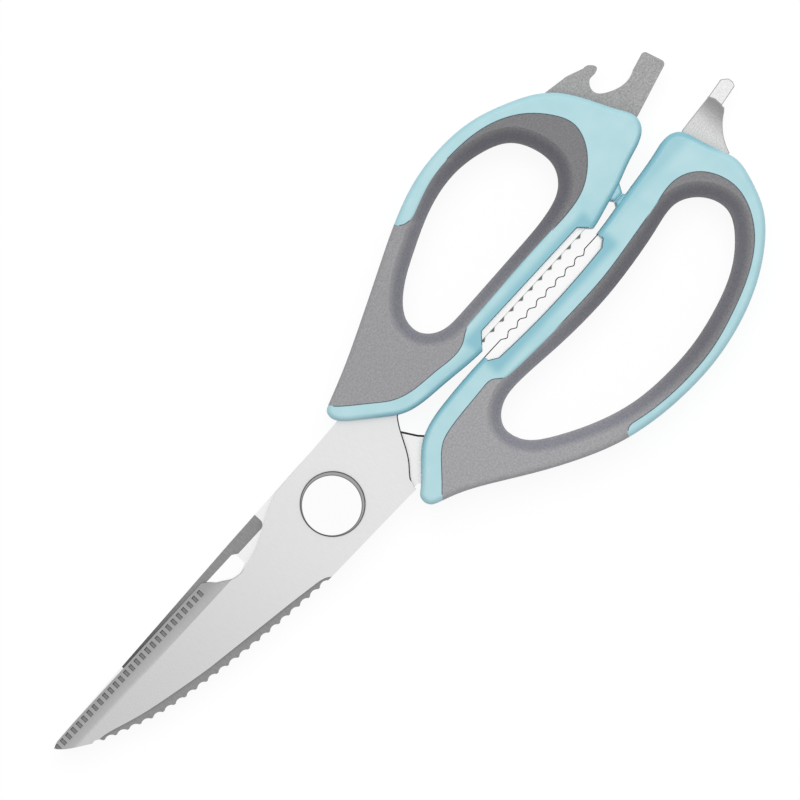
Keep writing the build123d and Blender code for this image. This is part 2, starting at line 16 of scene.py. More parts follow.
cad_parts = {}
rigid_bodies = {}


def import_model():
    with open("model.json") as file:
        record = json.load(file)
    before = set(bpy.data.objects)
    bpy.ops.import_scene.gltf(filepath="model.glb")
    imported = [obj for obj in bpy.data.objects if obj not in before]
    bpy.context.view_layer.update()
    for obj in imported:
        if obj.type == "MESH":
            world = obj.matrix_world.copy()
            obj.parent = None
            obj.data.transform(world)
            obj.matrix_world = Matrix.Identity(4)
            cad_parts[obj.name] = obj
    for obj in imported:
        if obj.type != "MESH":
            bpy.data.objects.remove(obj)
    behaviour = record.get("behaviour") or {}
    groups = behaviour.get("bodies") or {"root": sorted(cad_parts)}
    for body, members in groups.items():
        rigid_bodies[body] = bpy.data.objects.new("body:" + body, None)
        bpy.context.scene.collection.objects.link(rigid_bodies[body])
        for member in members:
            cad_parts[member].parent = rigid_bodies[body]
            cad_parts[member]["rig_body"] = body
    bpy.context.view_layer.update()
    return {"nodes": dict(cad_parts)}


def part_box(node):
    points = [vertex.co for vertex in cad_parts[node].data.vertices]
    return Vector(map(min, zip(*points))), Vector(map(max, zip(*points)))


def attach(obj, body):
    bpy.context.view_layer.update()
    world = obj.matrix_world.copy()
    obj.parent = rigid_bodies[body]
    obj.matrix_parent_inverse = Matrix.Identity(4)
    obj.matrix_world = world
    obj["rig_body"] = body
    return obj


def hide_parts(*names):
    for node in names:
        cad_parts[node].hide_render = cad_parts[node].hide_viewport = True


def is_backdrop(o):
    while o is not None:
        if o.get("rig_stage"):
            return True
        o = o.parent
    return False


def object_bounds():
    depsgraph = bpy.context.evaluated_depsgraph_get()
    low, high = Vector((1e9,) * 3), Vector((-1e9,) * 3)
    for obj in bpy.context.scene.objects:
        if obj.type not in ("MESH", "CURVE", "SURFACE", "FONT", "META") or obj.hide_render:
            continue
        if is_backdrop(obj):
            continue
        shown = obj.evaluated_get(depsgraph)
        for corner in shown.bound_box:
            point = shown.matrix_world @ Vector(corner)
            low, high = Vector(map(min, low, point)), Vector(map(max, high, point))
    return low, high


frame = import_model()
MM = 0.001

# %% [markdown]
# The main heights could be typed again, but then they would stay behind when the CAD model
# changes. They are read from the boxes of its parts instead. The two blades meet in the middle
# of the handles, and the pivot stands upright at the origin.

# %% Main heights
blade_low, blade_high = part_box("front_blade")
blade_middle = blade_low.z
blade_top = blade_high.z
tip_x = blade_high.x
handle_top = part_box("rear_handle_core")[1].z
bolt_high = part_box("pivot_bolt")[1]
head_radius = bolt_high.x
head_top = bolt_high.z
print("blade top", round(blade_top / MM, 2), "head radius", round(head_radius / MM, 2))


# %% [markdown]
# An operator works on everything that is selected, so each piece is picked by itself before it is
# edited. By hand, faces and edges would be clicked one by one. Here a test chooses them, by where
# they are and which way they look, and the same test still works when the shape changes.

# %% Picking pieces, faces and edges
def pick(piece):
    bpy.ops.object.select_all(action="DESELECT")
    piece.select_set(True)
    bpy.context.view_layer.objects.active = piece


def edit(piece, mode):
    pick(piece)
    bpy.ops.object.mode_set(mode="EDIT")
    bpy.ops.mesh.select_mode(type=mode)
    bpy.ops.mesh.select_all(action="DESELECT")


def done():
    bpy.ops.object.mode_set(mode="OBJECT")


def choose(piece, kind, test):
    mesh = bmesh.from_edit_mesh(piece.data)
    found = 0
    for part in getattr(mesh, kind):
        part.select_set(bool(test(part)))
        found += part.select
    mesh.select_flush_mode()
    bmesh.update_edit_mesh(piece.data)
    return found


# %% [markdown]
# A CAD mesh is loose triangles, which can't be rounded or shaded smoothly. A remesh would close
# them but blur every edge. So a copy is merged where its corners meet, and its flat areas are
# joined again, which keeps each edge where the CAD model has it.

# %% A clean copy of a CAD part
same_place = 0.002 * MM
flat_angle = radians(0.3)


def clean_copy(node, name, merge=same_place):
    piece = bpy.data.objects.new(name, frame["nodes"][node].data.copy())
    piece.data.name = name
    bpy.context.scene.collection.objects.link(piece)
    piece.data.materials.clear()
    edit(piece, "VERT")
    bpy.ops.mesh.select_all(action="SELECT")
    bpy.ops.mesh.customdata_custom_splitnormals_clear()
    bpy.ops.mesh.remove_doubles(threshold=merge)
    bpy.ops.mesh.dissolve_limited(angle_limit=flat_angle)
    done()
    return piece


# %% [markdown]
# A finished piece is shaded smoothly across its curves and stays crisp at its corners. Large flat
# faces would still look bent beside their narrow roundings, so the shading is weighted by the
# size of the faces. The piece then rides on the body of the CAD part that it stands for.

# %% Finishing a piece
def finish_piece(piece, node, smooth_angle):
    pick(piece)
    bpy.ops.object.shade_smooth_by_angle(angle=radians(smooth_angle))
    weigh = piece.modifiers.new("even_shading", "WEIGHTED_NORMAL")
    weigh.keep_sharp = True
    bpy.ops.object.modifier_apply(modifier=weigh.name)
    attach(piece, frame["nodes"][node]["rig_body"])
    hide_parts(node)
    print(piece.name, len(piece.data.polygons), "faces")


# %% [markdown]
# No real edge is perfectly sharp: a rounding of a fraction of a millimetre catches the light and
# gives each piece its thin bright or dark outline. A Bevel modifier would round every edge alike,
# but here the radius differs from place to place. So the edges are chosen first, by how sharply
# their two faces meet and by a test, and then bevelled. A rounding can carry its own finish. The
# clamp keeps roundings from running into each other, but it goes by the tightest place of all.
# So it is off where a few tiny edges would shrink every rounding to nothing.

# %% Rounding corners
def is_corner(edge, angle):
    return len(edge.link_faces) == 2 and edge.calc_face_angle(0) > radians(angle)


def round_corners(piece, radius, segments, angle, test=None, finish=None, clamp=True):
    if finish:
        piece.data.materials.append(finish)
    slot = len(piece.data.materials) - 1 if finish else -1
    edit(piece, "EDGE")
    found = choose(piece, "edges", lambda edge: (
        is_corner(edge, angle) and (test is None or test(edge))
    ))
    bpy.ops.mesh.bevel(
        offset=radius, segments=segments, affect="EDGES", clamp_overlap=clamp, material=slot
    )
    done()
    print(piece.name, found, "edges rounded by", round(radius / MM, 2), "mm")


# %% [markdown]
# Where an edge lies, and how level or upright its two faces are, tells which corner it is. These
# shares are the upright part of a face's normal: 1 on a level face and 0 on an upright one.

# %% Telling edges apart
level_share = 0.99
upright_share = 0.1


def middle(edge):
    return (edge.verts[0].co + edge.verts[1].co) / 2


def face_shares(edge):
    """How level the steeper and the more level face of an edge are."""
    return sorted(abs(face.normal.z) for face in edge.link_faces)


def is_beside_level(edge):
    return face_shares(edge)[1] > level_share


# %% [markdown]
# Some pieces carry more than one finish, where one part of them was ground or worn more than the
# next. They could be cut into several pieces, but they are one piece in the hand. So each finish
# is laid only on the faces for which a test is true.

# %% Laying a finish on faces
def coat(piece, material, test=None):
    piece.data.materials.append(material)
    index = len(piece.data.materials) - 1
    count = 0
    for face in piece.data.polygons:
        if test is None or test(face.center, face.normal):
            face.material_index = index
            count += 1
    print(piece.name, material.name, "on", count, "faces")


# %% [markdown]
# Materials are built from nodes. They could be joined by hand in the shader editor, and this does
# the same in code: one helper adds a node, sets its values and joins it to the nodes before it.
# It also works on the world, which has a node tree of its own.

# %% Nodes
def new_material(name):
    material = bpy.data.materials.new(name)
    material.use_nodes = True
    return material


def fill(node, inputs):
    """Join each input to a socket, or set it to a plain value."""
    for name, value in inputs.items():
        if isinstance(value, bpy.types.NodeSocket):
            node.id_data.links.new(value, node.inputs[name])
        else:
            node.inputs[name].default_value = value


def add(material, kind, inputs, **settings):
    made = material.node_tree.nodes.new("ShaderNode" + kind)
    for name, value in settings.items():
        setattr(made, name, value)
    fill(made, inputs)
    return made


def surface(material, inputs):
    fill(material.node_tree.nodes["Principled BSDF"], inputs)


# %% [markdown]
# A finish often changes from one place on the shears to another. A painted picture could hold
# that, but it would need a flat map of each piece. Object coordinates need none: they are metres
# on the real part, and a ramp turns a place or a distance into a value. Noise gives the grain,
# and most of its values lie near the middle, so that range is the one that is spread.

# %% Places, ramps and noise
noise_low_share = 0.3
noise_high_share = 0.7


def compute(material, operation, first, second=0.0):
    return add(material, "Math", {0: first, 1: second}, operation=operation).outputs[0]


def object_place(material):
    return add(material, "TexCoord", {}).outputs["Object"]


def coordinate(material, axis):
    return add(material, "SeparateXYZ", {"Vector": object_place(material)}).outputs[axis]


def ramp(material, value, start, end, first, last):
    """A value that runs smoothly from first at start to last at end."""
    inputs = {"Value": value, "From Min": start, "From Max": end, "To Min": first, "To Max": last}
    return add(material, "MapRange", inputs, interpolation_type="SMOOTHSTEP").outputs[0]


def along(material, axis, start, end, first, last):
    """A value that runs smoothly from first to last between two places on one axis."""
    return ramp(material, coordinate(material, axis), start, end, first, last)


def spots(material, size, detail=2.0):
    """Noise whose spots have this size in metres along X, Y and Z."""
    scale = [1 / length for length in size]
    inputs = {"Vector": object_place(material), "Scale": scale}
    fitted = add(material, "Mapping", inputs).outputs["Vector"]
    return add(material, "TexNoise", {"Vector": fitted, "Scale": 1.0, "Detail": detail}).outputs[0]


def spread(material, noise, low, high):
    """The middle of a noise, spread from low to high."""
    inputs = {
        "Value": noise, "From Min": noise_low_share, "From Max": noise_high_share,
        "To Min": low, "To Max": high,
    }
    return add(material, "MapRange", inputs).outputs[0]


# %% [markdown]
# These helpers mix two colours, make one lighter or darker, and turn a noise into fine relief. The
# relief is far finer than the mesh, so a bump in the material makes it, and no mesh has to.

# %% Colours and relief
def blend(material, share, first, second):
    """A colour between two others, each of which is a socket or three numbers."""
    ends = [
        end if isinstance(end, bpy.types.NodeSocket) else (*end, 1.0) for end in (first, second)
    ]
    return add(material, "Mix", {0: share, 6: ends[0], 7: ends[1]}, data_type="RGBA").outputs[2]


def shaded(material, colour, factor):
    """A colour made lighter or darker by a value around 1."""
    return add(material, "VectorMath", {0: colour, "Scale": factor}, operation="SCALE").outputs[0]


def grain_bump(material, height, depth):
    return add(material, "Bump", {"Height": height, "Strength": 1.0, "Distance": depth}).outputs[0]


def plan_length(material, vector):
    """How long a vector is when it is seen from above."""
    flat = add(material, "VectorMath", {0: vector, 1: (1, 1, 0)}, operation="MULTIPLY").outputs[0]
    return add(material, "VectorMath", {0: flat}, operation="LENGTH").outputs["Value"]


# %% [markdown]
# The handles are pale blue moulded plastic with a low gloss. One flat colour would look like
# paint: real plastic has faint clouds in its tone and a skin that is not quite smooth. Its
# rounded rims lean away from the light, and the places where the two handles face each other and
# beside the jaws lie in shade, so they look a deeper blue. Light could be scattered under the
# surface for a deeper blue too, but it is slow, and an exported model loses it. So the deeper
# blue is painted shade, placed by the slant of the surface and by its distance from two lines
# between the handles.

# %% Blue moulded plastic: colours and places
plastic_pale = (0.515, 0.765, 0.810)
plastic_blue = (0.455, 0.720, 0.775)
# The deepest blue is painted shade.
plastic_shade_blue = (0.260, 0.550, 0.640)
cloud_size = (7 * MM, 7 * MM, 7 * MM)
skin_size = (0.35 * MM, 0.35 * MM, 0.35 * MM)
skin_depth = 0.006 * MM
rim_slant = 0.75
facing_reach = (6 * MM, 12 * MM)
gap_y = 1.2 * MM
gap_reach = (1 * MM, 4 * MM)
pocket_y = 2.35 * MM
pocket_reach = (4.7 * MM, 7.2 * MM)
pocket_far_x = (-97 * MM, -94 * MM)
pocket_near_x = (-53 * MM, -50 * MM)
print("the handles face each other along y =", round(gap_y / MM, 2), "mm")


# %% [markdown]
# Rims, gap and pockets each give a share of painted shade, from 0, the pale flat face, to 1, the
# deepest blue. The three could be mixed in one after another, but where they overlap that would
# leave rings. So the deeper one of gap and pocket is added to the rim, and the sum stops at 1.

# %% Blue moulded plastic: the material
def near_line(material, line_y, reach, first, last):
    """A value that runs from first to last between two distances from a line along X."""
    across = compute(material, "SUBTRACT", coordinate(material, "Y"), line_y)
    distance = compute(material, "ABSOLUTE", across)
    return ramp(material, distance, *reach, first, last)


# Painted shade on rims that lean away from the light, strongest where the handles face each other.
def rim_painted_shade(material):
    slant = plan_length(material, add(material, "TexCoord", {}).outputs["Normal"])
    leaning = ramp(material, slant, 0.0, rim_slant, first=0.0, last=1.0)
    facing = near_line(material, gap_y, facing_reach, first=0.9, last=0.3)
    return compute(material, "MULTIPLY", leaning, facing)


# Painted shade beside the jaws.
def pocket_painted_shade(material):
    after_start = along(material, "X", *pocket_far_x, first=0.0, last=1.0)
    before_end = along(material, "X", *pocket_near_x, first=1.0, last=0.0)
    beside_jaws = compute(material, "MULTIPLY", after_start, before_end)
    near_pocket = near_line(material, pocket_y, pocket_reach, first=0.9, last=0.0)
    return compute(material, "MULTIPLY", near_pocket, beside_jaws)


def moulded_plastic():
    material = new_material("handle_plastic")
    clouds = spread(material, spots(material, cloud_size), low=0.0, high=1.0)
    skin = spots(material, skin_size, detail=3.0)
    # Painted shade where the two handles face each other.
    gap = near_line(material, gap_y, gap_reach, first=0.45, last=0.0)
    between = compute(material, "MAXIMUM", gap, pocket_painted_shade(material))
    depth = compute(material, "ADD", rim_painted_shade(material), between)
    flat = blend(material, clouds, plastic_pale, plastic_blue)
    surface(material, {
        "Base Color": blend(material, compute(material, "MINIMUM", depth, 1.0), flat, plastic_shade_blue),
        "Roughness": spread(material, skin, low=0.34, high=0.44),
        "Specular IOR Level": 0.4,
        "Normal": grain_bump(material, skin, skin_depth),
    })
    return material


blue_plastic = moulded_plastic()
print(blue_plastic.name, "has", len(blue_plastic.node_tree.nodes), "nodes")

# %% [markdown]
# The soft grips are grey rubber. Its fine grain breaks up the gloss, and single grains are a
# little lighter or darker than the rest. Both grips get darker towards the far end. The slopes
# into the finger loops are painted darker and bluer, as painted shade where they lean away from
# the light above. They could get one dark colour, but that would end in a hard line, so the depth
# under the face of the handle fades it in. Deep inside the loop the painted shade fades back half
# way, as painted light on the rounded edge of the hole.

# %% Grey soft rubber
rubber_light = (0.410, 0.407, 0.422)
rubber_dark = (0.290, 0.287, 0.302)
# Painted shade on the slopes into the finger loops.
slope_shade_light = (0.280, 0.283, 0.312)
slope_shade_dark = (0.200, 0.202, 0.232)
rubber_grain = (0.45 * MM, 0.45 * MM, 0.45 * MM)
rubber_depth = 0.03 * MM
slope_start = (0.0, 1.4 * MM)
slope_end = (2.0 * MM, 2.9 * MM)
darkening_x = (-55 * MM, -95 * MM)
darkening_y = (-5 * MM, 5 * MM)


def below_face(material, reach, first, last):
    """A value that runs from first to last between two depths under the nearer handle face."""
    half_height = handle_top / 2
    over_middle = compute(material, "SUBTRACT", coordinate(material, "Z"), half_height)
    from_middle = compute(material, "ABSOLUTE", over_middle)
    depth = compute(material, "SUBTRACT", half_height, from_middle)
    return ramp(material, depth, *reach, first, last)


# Painted shade on the slopes, fading back half way deep inside the loop.
def slope_painted_shade(material, mottle, flat):
    slope = blend(material, mottle, slope_shade_dark, slope_shade_light)
    deep_inside = below_face(material, slope_end, first=0.0, last=0.5)
    on_slope = below_face(material, slope_start, first=0.0, last=1.0)
    return blend(material, on_slope, flat, blend(material, deep_inside, slope, flat))


def soft_rubber(name, sloped):
    material = new_material(name)
    grain = spots(material, rubber_grain, detail=4.0)
    mottle = spread(material, grain, low=0.0, high=1.0)
    flat = blend(material, mottle, rubber_dark, rubber_light)
    colour = slope_painted_shade(material, mottle, flat) if sloped else flat
    # Darker towards the far end, and lighter on the big handle.
    towards_end = along(material, "X", *darkening_x, first=1.0, last=0.64)
    big_handle = along(material, "Y", *darkening_y, first=1.0, last=1.12)
    darkening = compute(material, "MULTIPLY", towards_end, big_handle)
    surface(material, {
        "Base Color": shaded(material, colour, darkening),
        "Roughness": spread(material, grain, low=0.58, high=0.72),
        "Specular IOR Level": 0.3,
        "Normal": grain_bump(material, grain, rubber_depth),
    })
    return material


grey_rubber = soft_rubber("soft_rubber", False)
slope_rubber = soft_rubber("slope_rubber", True)
print("rubber finishes made:", grey_rubber.name, slope_rubber.name)

# %% [markdown]
# A dark line runs along the seam between plastic and rubber, where shade collects in the fine
# groove. A deeper groove could make it by shade alone, but at 0.2 mm it would hardly show, so the
# rounding of the plastic along the seam gets a dark finish of its own, as painted shade.

# %% Painted shade in the seam
# The colour of the painted shade in the seam.
seam_shade_grey = (0.130, 0.190, 0.210)


def paint_seam_shade():
    material = new_material("seam_shade")
    grain = spots(material, rubber_grain, detail=4.0)
    surface(material, {
        "Base Color": shaded(material, seam_shade_grey, spread(material, grain, low=0.8, high=1.2)),
        "Roughness": 0.7,
        "Specular IOR Level": 0.3,
        "Normal": grain_bump(material, grain, rubber_depth),
    })
    return material


seam_shade = paint_seam_shade()
print("seam finish made:", seam_shade.name)


# %% [markdown]
# All metal here is steel, and what differs is how it was ground. A grinding mark is a short line
# that lies across the blade, so the noise is stretched into marks of that size. One function
# makes every steel finish from its tone, its marks and its roughness, which keeps them alike.

# %% Steel
polish_spread = 0.05


def steel(name, tone, marks, roughness, contrast, depth):
    """tone is a number, or a function that makes one from the material."""
    material = new_material(name)
    grain = spots(material, marks, detail=3.0)
    level = tone(material) if callable(tone) else tone
    white = add(material, "CombineColor", {"Red": level, "Green": level, "Blue": level}).outputs[0]
    surface(material, {
        "Base Color": shaded(material, white, spread(material, grain, 1 - contrast, 1 + contrast)),
        "Metallic": 1.0,
        "Roughness": spread(material, grain, roughness - polish_spread, roughness + polish_spread),
        "Normal": grain_bump(material, grain, depth),
    })
    print("steel finish made:", name)
    return material


# %% [markdown]
# The flat of the blades is satin steel, painted darker towards the tip as painted shade. The
# bevel beside it is ground darker, and darkest at its edge. Near the pivot the two meet in a sharp
# line, and towards the tip that line blurs. A cut line can't blur, so the tone of the bevel runs
# over into the tone of the satin face there.

# %% Steel of the blade faces
cross_lines = (0.14 * MM, 2.5 * MM, 1 * MM)
face_depth = 0.0006 * MM
blade_light_x = -20 * MM
bevel_top_y = -5.7 * MM
bevel_blur_y = -6.6 * MM
bevel_tone_y = (-6.2 * MM, -9.5 * MM)
bevel_blur_x = (40 * MM, 75 * MM)


# Painted shade: the blade gets darker towards the tip.
def blade_tone(material):
    return along(material, "X", blade_light_x, tip_x, first=0.79, last=0.58)


def bevel_tone(material):
    ground = along(material, "Y", *bevel_tone_y, first=0.46, last=0.37)
    upper = along(material, "Y", bevel_blur_y, bevel_top_y, first=0.0, last=0.8)
    towards_tip = along(material, "X", *bevel_blur_x, first=0.0, last=1.0)
    share = compute(material, "MULTIPLY", upper, towards_tip)
    inputs = {0: share, 2: ground, 3: blade_tone(material)}
    return add(material, "Mix", inputs, data_type="FLOAT").outputs[0]


satin_steel = steel(
    "satin_steel", blade_tone, cross_lines, roughness=0.36, contrast=0.035, depth=face_depth
)
bevel_steel = steel(
    "bevel_steel", bevel_tone, cross_lines, roughness=0.34, contrast=0.05, depth=face_depth
)
inner_steel = steel(
    "inner_steel", 0.87, cross_lines, roughness=0.25, contrast=0.03, depth=0.0004 * MM
)
bright_steel = steel(
    "bright_steel", 0.98, cross_lines, roughness=0.16, contrast=0.01, depth=0.0002 * MM
)

# %% [markdown]
# Ground bands lie along both spines: one round the scaler teeth, and a strip on the rear blade
# that gets darker towards the tip, where the front blade shades it. Their marks are coarser, so
# they look hatched. One flat dark tone would look like paint on the steel.

# %% Steel of the ground bands
band_lines = (0.3 * MM, 1.5 * MM, 1 * MM)
band_depth = 0.002 * MM
strip_x = (35 * MM, 62 * MM)


def strip_tone(material):
    return along(material, "X", *strip_x, first=0.29, last=0.12)


band_steel = steel(
    "band_steel", 0.29, band_lines, roughness=0.45, contrast=0.14, depth=band_depth
)
strip_steel = steel(
    "strip_steel", strip_tone, band_lines, roughness=0.45, contrast=0.14, depth=band_depth
)

# %% [markdown]
# What was only stamped or cut has an even grain with no direction. Grooves, cut edges and deep
# corners are dark, because they see little light. Shadows alone would leave them too pale at this
# size, so they get dark finishes. The end tools are tumbled, which leaves a coarser grain.

# %% Steel of edges, grooves and small parts
fine_grain = (0.3 * MM, 0.3 * MM, 0.3 * MM)
tumbled_grain = (0.45 * MM, 0.45 * MM, 0.45 * MM)
cut_depth = 0.001 * MM
groove_steel = steel(
    "groove_steel", 0.24, fine_grain, roughness=0.45, contrast=0.10, depth=cut_depth
)
edge_steel = steel("edge_steel", 0.26, fine_grain, roughness=0.40, contrast=0.10, depth=cut_depth)
# Painted shade for dark corners and edges.
painted_shade_steel = steel("painted_shade_steel", 0.06, fine_grain, roughness=0.45, contrast=0.10, depth=cut_depth)
nut_steel = steel("nut_steel", 0.62, fine_grain, roughness=0.3, contrast=0.06, depth=cut_depth)
tool_steel = steel(
    "tool_steel", 0.39, tumbled_grain, roughness=0.42, contrast=0.24, depth=0.003 * MM
)

# %% [markdown]
# Each handle is a hard blue core with a grey grip moulded round it. The seam between them is a
# fine groove. It could be cut as a channel, but rounding the corners of both pieces along it makes
# the same groove. The small pads that stop the closing have softer corners than the rest, and
# wide roundings come before narrow ones, so that the narrow ones don't leave them too little room.

# %% Blue cores
fine_merge = 0.03 * MM
seam_radius = 0.22 * MM
pad_radius = 0.8 * MM
pad_x = (-109 * MM, -100 * MM)
pad_y = (-2 * MM, 3 * MM)


def is_rim(edge):
    return is_beside_level(edge) and face_shares(edge)[0] < upright_share


def is_pad_rim(edge):
    place = middle(edge)
    return is_rim(edge) and pad_x[0] < place.x < pad_x[1] and pad_y[0] < place.y < pad_y[1]


def dress_core(half):
    core = clean_copy(half + "_handle_core", half + "_handle_shell", fine_merge)
    coat(core, blue_plastic)
    round_corners(core, pad_radius, segments=3, angle=50, test=is_pad_rim, clamp=False)
    # The seam rounding carries the painted shade of the seam.
    round_corners(
        core, seam_radius, segments=2, angle=50, test=is_rim, finish=seam_shade, clamp=False
    )
    finish_piece(core, half + "_handle_core", smooth_angle=40)


# %% [markdown]
# The grips slope into the finger loops, and all their creases are soft, as rubber comes out of a
# mould. A subdivision surface would round them too, but it would also pull the grip away from
# the core. So each crease is bevelled on its own. The long thin triangles of the slopes are
# joined in pairs first, because a bevel runs evenly along four-sided faces.

# %% Grey grips
crease_radius = 0.9 * MM
hole_radius = 0.8 * MM
slope_low_share = 0.7
slope_high_share = 0.9
grip_flat_share = 0.998


def is_crease(edge):
    return is_beside_level(edge) and slope_low_share < face_shares(edge)[0] < slope_high_share


def is_hole_edge(edge):
    steeper, more_level = face_shares(edge)
    return slope_low_share < more_level < slope_high_share and steeper < upright_share


def pair_triangles(piece):
    edit(piece, "FACE")
    bpy.ops.mesh.select_all(action="SELECT")
    bpy.ops.mesh.tris_convert_to_quads(face_threshold=radians(6), shape_threshold=radians(60))
    done()


def dress_grip(half, loop_centre):
    grip = clean_copy(half + "_soft_grip", half + "_grip_cover")
    pair_triangles(grip)
    coat(grip, grey_rubber)
    coat(grip, slope_rubber, lambda centre, normal: (
        abs(normal.z) < grip_flat_share and normal.xy.dot(loop_centre - centre.xy) > 0
    ))
    round_corners(grip, crease_radius, segments=3, angle=30, test=is_crease)
    round_corners(grip, hole_radius, segments=3, angle=40, test=is_hole_edge)
    round_corners(grip, seam_radius, segments=2, angle=50)
    finish_piece(grip, half + "_soft_grip", smooth_angle=40)


# %% [markdown]
# The two handles differ in size but are made alike, so one loop dresses both. A slope is told
# from the outside of a grip by whether it looks towards the middle of its own finger loop.

# %% Both handles
loop_centres = {
    "front": Vector((-74 * MM, -20 * MM)),
    "rear": Vector((-82 * MM, 26 * MM)),
}
for half, loop_centre in loop_centres.items():
    dress_core(half)
    dress_grip(half, loop_centre)

# %% [markdown]
# The front blade has several kinds of surface: the satin face, the ground bevel with its fine
# grooves, the band along the spine with the scaler teeth, and the cut edges all round. Each was
# ground in a step of its own, so each has its own height or slant, and that tells its faces apart.

# %% Surfaces of the front blade
bevel_edge_y = -10.6 * MM
bevel_overlap = 0.2 * MM
edge_land = 0.3 * MM
groove_margin = 0.04 * MM
groove_end_share = 0.6
groove_wall_share = 0.02
cut_share = 0.8
bevel_share = 0.85
band_share = 0.5
band_drop = 0.5 * MM


def is_cut_edge(centre, normal):
    return abs(normal.z) < cut_share


def is_bevel(centre, normal):
    return centre.y < bevel_top_y + bevel_overlap and bevel_share <= normal.z < level_share


def is_groove(centre, normal):
    share = (centre.y - bevel_edge_y) / (bevel_top_y - bevel_edge_y)
    ground = blade_middle + edge_land + share * (blade_top - blade_middle - edge_land)
    sunk = 0 < share < groove_end_share and centre.z < ground - groove_margin
    return sunk and normal.z > groove_wall_share


def is_band(centre, normal):
    low = centre.z < blade_top - band_drop and centre.y > bevel_top_y
    return low and normal.z > band_share


# %% [markdown]
# The edges of its face are rounded a little, which draws a fine bright line round the blade. The
# rounded corner of the cheek, its slanted end behind the pivot, is painted dark as painted shade,
# and the corner of the bone notch is rounded a little more than the rest and gets the painted
# shade of a cut edge.

# %% Front blade
cheek_radius = 0.3 * MM
notch_radius = 0.25 * MM
blade_radius = 0.15 * MM
neck_x = -12 * MM
cheek_top_y = 10.5 * MM
cheek_share = -0.3
notch_x = (27 * MM, 36.5 * MM)
notch_top_y = -5 * MM


def is_top_corner(edge):
    return max(face.normal.z for face in edge.link_faces) > bevel_share


def is_cheek(edge):
    place = middle(edge)
    side = min(edge.link_faces, key=lambda face: face.normal.z)
    behind = place.x < neck_x and place.y < cheek_top_y
    return is_top_corner(edge) and behind and side.normal.x < cheek_share


def is_notch_edge(edge):
    place = middle(edge)
    return is_top_corner(edge) and notch_x[0] < place.x < notch_x[1] and place.y < notch_top_y


front = clean_copy("front_blade", "front_blade_steel")
coat(front, satin_steel)
coat(front, edge_steel, is_cut_edge)
coat(front, bevel_steel, is_bevel)
coat(front, groove_steel, is_groove)
coat(front, band_steel, is_band)
# The cheek corner and the notch corner get painted shade.
round_corners(
    front, cheek_radius, segments=2, angle=60, test=is_cheek, finish=painted_shade_steel, clamp=False
)
round_corners(front, notch_radius, segments=2, angle=60, test=is_notch_edge, finish=edge_steel)
round_corners(front, blade_radius, segments=2, angle=60, test=is_top_corner)
finish_piece(front, "front_blade", smooth_angle=30)

# %% [markdown]
# The rear blade shows its inner face in the notch and behind the pivot, with a dark ground strip
# along its spine and a hollow beside it that is polished bright. The strip and the hollow lie
# lower than the inner face, so their height tells them apart. Its corner behind the pivot is
# rounded more, and painted dark as painted shade.

# %% Rear blade
choil_radius = 0.6 * MM
choil_top_y = 8 * MM
rear_radius = 0.12 * MM
strip_drop = 0.3 * MM
hollow_drop = 0.25 * MM
hollow_margin = 0.03 * MM
ground_share = 0.9


def is_inner_face(centre, normal):
    return normal.z > cut_share


def is_strip(centre, normal):
    return normal.z > ground_share and centre.z < blade_middle - strip_drop


def is_hollow(centre, normal):
    depth = blade_middle - centre.z
    return normal.z > ground_share and abs(depth - hollow_drop) < hollow_margin


def is_choil(edge):
    place = middle(edge)
    return is_top_corner(edge) and place.x < neck_x and place.y < choil_top_y


rear = clean_copy("rear_blade", "rear_blade_steel")
coat(rear, satin_steel)
coat(rear, edge_steel, is_cut_edge)
coat(rear, inner_steel, is_inner_face)
coat(rear, strip_steel, is_strip)
coat(rear, bright_steel, is_hollow)
# The corner behind the pivot gets painted shade.
round_corners(rear, choil_radius, segments=3, angle=60, test=is_choil, finish=painted_shade_steel)
round_corners(rear, rear_radius, segments=2, angle=60, test=is_beside_level)
finish_piece(rear, "rear_blade", smooth_angle=30)

# %% [markdown]
# The pivot head is polished until it is nearly white. On the side towards the handles a grey
# sickle between thin dark lines lies at its rim, and the material paints it as a painted
# reflection: two circles whose centres lie a little apart leave a sickle between them. The outer
# edge of the rim is painted darker as painted shade.

# %% Finish of the pivot head
sickle_shift = (0.38 * MM, 0.09 * MM, 0)
sickle_radius = head_radius - 0.78 * MM
sickle_line = 0.2 * MM
rim_shade_start = head_radius - 0.4 * MM
rim_shade_end = head_radius - 0.15 * MM
head_grain = (0.2 * MM, 0.2 * MM, 0.2 * MM)


def ring_reach(material, centre):
    """How far a place is from the centre of a ring, seen from above."""
    inputs = {0: object_place(material), 1: centre}
    moved = add(material, "VectorMath", inputs, operation="SUBTRACT").outputs[0]
    return plan_length(material, moved)


# Painted reflection of the sickle, and painted shade at the edge of the rim.
def dome_tone(material):
    inner = ring_reach(material, sickle_shift)
    line_start = sickle_radius - sickle_line / 2
    line_end = sickle_radius + sickle_line / 2
    polish = ramp(material, inner, line_start, line_end, first=0.97, last=0.12)
    sickle = ramp(material, inner, line_end, line_end + sickle_line, first=0.0, last=0.24)
    outer = ring_reach(material, (0, 0, 0))
    rim = ramp(material, outer, rim_shade_start, rim_shade_end, first=1.0, last=0.25)
    return compute(material, "MULTIPLY", compute(material, "ADD", polish, sickle), rim)


polished_steel = steel(
    "polished_steel", dome_tone, head_grain, roughness=0.12, contrast=0.01, depth=0.0002 * MM
)

# %% [markdown]
# The head itself is a low dome over a flat disc. A flattened ball would have the wrong curve at
# its rim. So the dome is grown from the disc: its top face is pushed up and drawn in again and
# again, each ring a little higher and narrower, along the one circle that meets both the rim and
# the crown. The rim is rounded last.

